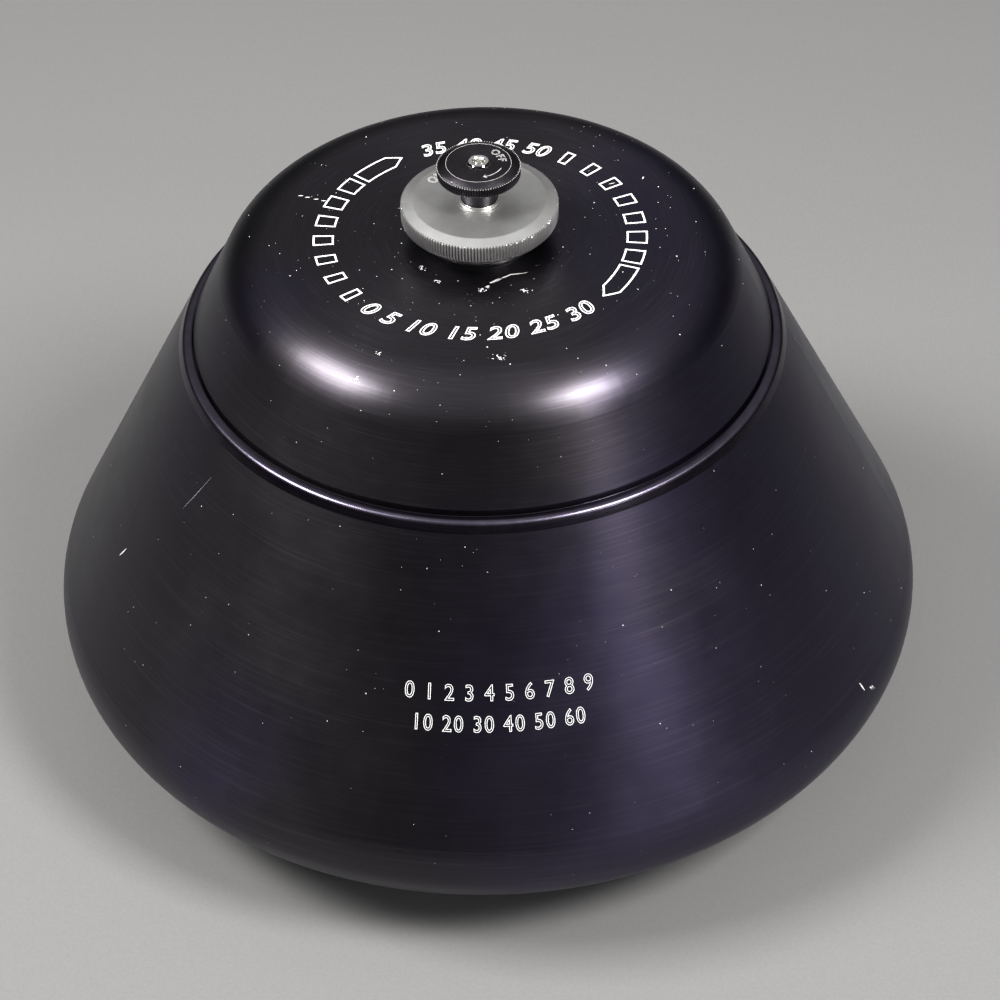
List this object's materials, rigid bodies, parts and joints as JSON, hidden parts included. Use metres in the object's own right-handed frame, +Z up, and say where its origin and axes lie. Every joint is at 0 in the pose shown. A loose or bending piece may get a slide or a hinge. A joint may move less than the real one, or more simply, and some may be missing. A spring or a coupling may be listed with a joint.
{
  "type": "fixed-angle centrifuge rotor",
  "caption": "Cone-shaped fixed-angle centrifuge rotor with slanted bottle cavities, a domed lid with a knurled knob, and a small knob on a screw that locks it to a drive.",
  "frame": {"origin": "centre of the resting face under the base, on the axis of rotation", "axes": "+Z up along the axis of rotation, +X along the middle of one cavity's lean, -Y is the marked front"},
  "size_m": [0.3138, 0.3138, 0.2249],
  "materials": {
    "black_anodised": "hard anodised, dyed black, fine turning lines",
    "black_anodised_small": "hard anodised, dyed black",
    "grey_anodised": "bead blasted and clear anodised",
    "steel": "turned stainless steel",
    "bright_steel": "polished",
    "black_steel": "black oxide",
    "bronze": "turned",
    "rubber": "matte",
    "washer_plastic": "slippery plastic washer",
    "marked_ring": "matte, alternating marks"
  },
  "bodies": {
    "rotor": {"rotor_body": "black_anodised", "drive_hub": "steel", "drive_pins": "steel", "hub_screws": "black_steel", "speed_ring": "marked_ring", "lid_stud": "steel", "guide_bush": "bronze", "stud_seal": "rubber"},
    "lid": {"lid_shell": "black_anodised", "lid_seal": "rubber", "lid_bush": "steel", "bush_seal": "rubber", "bush_nut": "steel", "tower_gasket": "rubber"},
    "lid_knob": {"lid_knob": "grey_anodised", "knob_sleeve": "steel", "knob_set_screws": "black_steel", "thrust_washer": "washer_plastic", "knob_clip": "steel", "gland_ring": "bright_steel"},
    "stem_carrier": {"stem_clip": "steel"},
    "lock_knob": {"lock_stem": "black_anodised_small", "lock_knob": "black_anodised_small", "lock_screw": "bright_steel"}
  },
  "joints": [
    {"name": "lid_lift", "type": "slide", "parent": "rotor", "child": "lid", "axis": [0, 0, 1], "range_m": [0, 0.14]},
    {"name": "lid_knob_turn", "type": "hinge", "parent": "lid", "child": "lid_knob", "pos_m": [0, 0, 0.2], "axis": [0, 0, 1], "range_deg": [0, 1440]},
    {"name": "lock_travel", "type": "slide", "parent": "lid_knob", "child": "stem_carrier", "axis": [0, 0, 1], "range_m": [-0.005, 0.005]},
    {"name": "lock_knob_turn", "type": "hinge", "parent": "stem_carrier", "child": "lock_knob", "pos_m": [0, 0, 0.22], "axis": [0, 0, 1], "range_deg": [-1440, 1440]}
  ]
}
